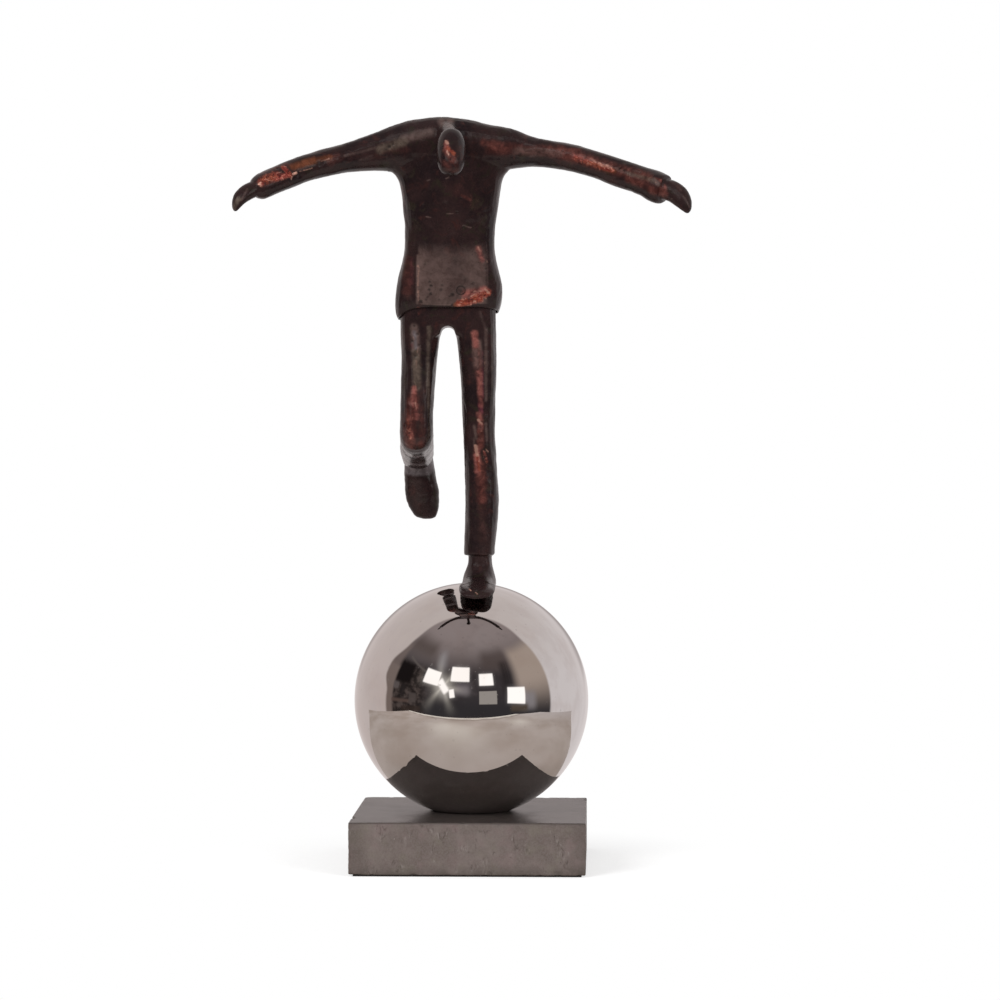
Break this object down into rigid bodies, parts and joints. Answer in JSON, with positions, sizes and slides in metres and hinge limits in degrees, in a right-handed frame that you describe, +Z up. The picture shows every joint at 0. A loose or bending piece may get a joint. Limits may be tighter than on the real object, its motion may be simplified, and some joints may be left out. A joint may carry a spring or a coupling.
{
  "type": "balancing figure ornament",
  "caption": "Dark bronze figure with outstretched arms balancing on one leg on a mirror-polished steel ball, set in a square stone plinth.",
  "frame": {"origin": "centre of the underside of the felt under the plinth, where the ornament rests on a table", "axes": "+Z up through plinth, ball and figure; -Y is the front, which the bowed head, the curved arms and the standing shoe point to; +X is the side of the standing leg"},
  "size_m": [0.2276, 0.1348, 0.3796],
  "materials": {
    "bronze": "cast bronze, dark brown patina with copper-red rubbed places, semi-gloss",
    "polished_steel": "mirror-polished stainless steel",
    "plain_steel": "plain machined steel",
    "stone": "taupe grey stone, honed top, finely pitted sides",
    "felt": "black wool felt"
  },
  "bodies": {
    "root": {"base_felt": "felt", "plinth": "stone", "base_bolt": "plain_steel", "spring_washer": "plain_steel", "base_washer": "plain_steel", "lower_boss": "plain_steel", "ball_lower_half": "polished_steel", "ball_upper_half": "polished_steel", "upper_boss": "plain_steel", "figure_stud": "plain_steel", "standing_shoe": "bronze", "standing_leg": "bronze", "trouser_seat": "bronze", "raised_thigh": "bronze", "raised_shin": "bronze", "raised_shoe": "bronze", "jacket": "bronze", "head": "bronze", "right_sleeve": "bronze", "left_sleeve": "bronze", "right_hand": "bronze", "left_hand": "bronze", "standing_hip_dowel": "plain_steel", "raised_hip_dowel": "plain_steel", "right_waist_dowel": "plain_steel", "left_waist_dowel": "plain_steel", "right_shoulder_dowel": "plain_steel", "left_shoulder_dowel": "plain_steel", "right_wrist_pin": "plain_steel", "left_wrist_pin": "plain_steel", "knee_pin": "plain_steel", "raised_ankle_pin": "plain_steel"}
  },
  "joints": []
}
